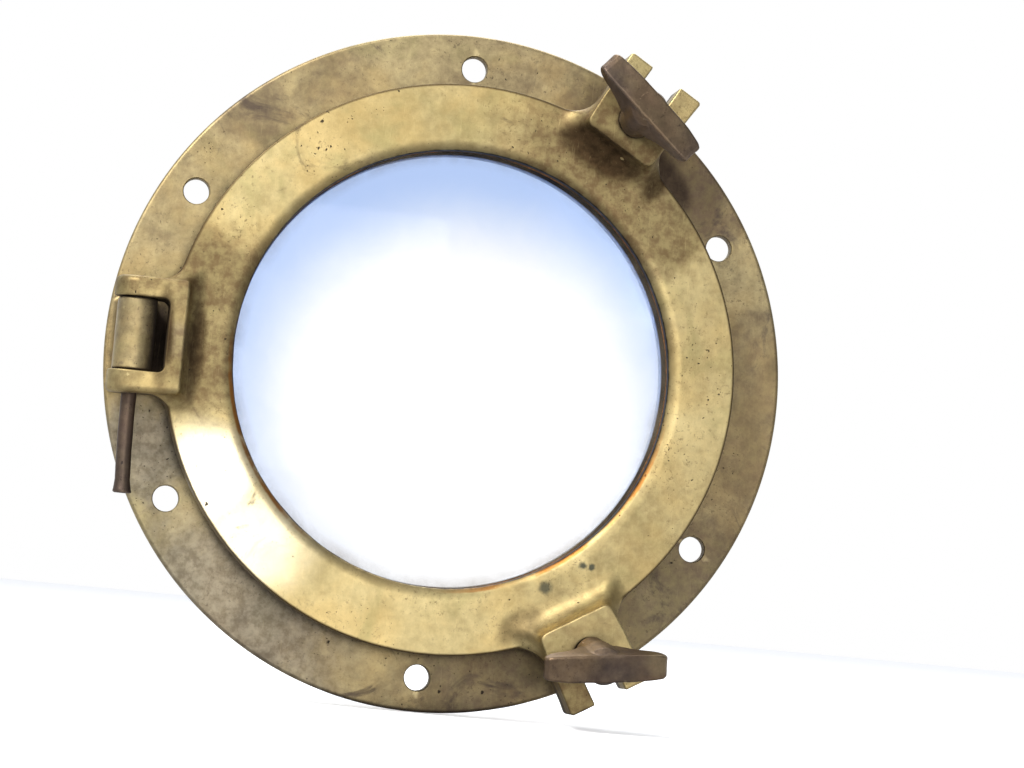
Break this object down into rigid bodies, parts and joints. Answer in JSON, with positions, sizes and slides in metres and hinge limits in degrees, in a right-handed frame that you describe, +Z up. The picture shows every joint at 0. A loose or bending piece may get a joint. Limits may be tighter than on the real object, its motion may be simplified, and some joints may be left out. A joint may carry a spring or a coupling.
{
  "type": "opening porthole",
  "caption": "Round brass boat window: bolted flange frame, glazed ring on a side hinge with a drawn pin, and swing-bolt dogs with half-moon nuts.",
  "frame": {"origin": "centre of the main frame's back face, the flat that lies on the hull lining", "axes": "-Y is the front, into the cabin; +X points from the hinge to the dogs' side; +Z is up; +Y runs out through the hull along the tube"},
  "size_m": [0.3048, 0.1068, 0.3048],
  "materials": {
    "aged_brass_dull": "dull brown-olive patina, blotched",
    "aged_brass_bright": "worn yellow brass with small dark pits",
    "aged_brass_dark": "dark brown patina",
    "window_glass": "clear",
    "gasket_rubber": "matt black",
    "bedding_putty": "hardened brown bedding compound"
  },
  "bodies": {
    "frame": {"main_frame": "aged_brass_dull", "dog_pivot_pin_upper": "aged_brass_dark", "dog_pivot_pin_lower": "aged_brass_dark"},
    "window": {"glass_frame": "aged_brass_bright", "frame_gasket": "gasket_rubber", "front_bedding": "bedding_putty", "rear_bedding": "bedding_putty", "glass_pane": "window_glass", "glass_retaining_ring": "aged_brass_dull", "retaining_screw_1": "aged_brass_dark", "retaining_screw_2": "aged_brass_dark", "retaining_screw_3": "aged_brass_dark", "retaining_screw_4": "aged_brass_dark", "retaining_screw_5": "aged_brass_dark", "retaining_screw_6": "aged_brass_dark"},
    "pin": {"hinge_pin": "aged_brass_dark"},
    "upper_bolt": {"swing_bolt_upper": "aged_brass_dark"},
    "upper_nut": {"dog_nut_upper": "aged_brass_dark"},
    "lower_bolt": {"swing_bolt_lower": "aged_brass_dark"},
    "lower_nut": {"dog_nut_lower": "aged_brass_dark"}
  },
  "joints": [
    {"name": "window_hinge", "type": "hinge", "parent": "frame", "child": "window", "pos_m": [-0.14, -0.0305, 0], "axis": [0, 0, -1], "range_deg": [0, 175]},
    {"name": "hinge_pin_draw", "type": "slide", "parent": "frame", "child": "pin", "axis": [0, 0, -1], "range_m": [0, 0.048]},
    {"name": "upper_dog_swing", "type": "hinge", "parent": "frame", "child": "upper_bolt", "pos_m": [0.06541, -0.0135, 0.11061], "axis": [-0.8607, 0, 0.509], "range_deg": [0, 70.6]},
    {"name": "upper_nut_spin", "type": "hinge", "parent": "upper_bolt", "child": "upper_nut", "pos_m": [0.07052, -0.07408, 0.11924], "axis": [0.0831, -0.9866, 0.1406], "continuous": true},
    {"name": "lower_dog_swing", "type": "hinge", "parent": "frame", "child": "lower_bolt", "pos_m": [0.06541, -0.0135, -0.11061], "axis": [0.8607, 0, 0.509], "range_deg": [0, 64.4]},
    {"name": "lower_nut_spin", "type": "hinge", "parent": "lower_bolt", "child": "lower_nut", "pos_m": [0.07382, -0.07264, -0.12482], "axis": [0.1369, -0.9632, -0.2315], "continuous": true}
  ]
}
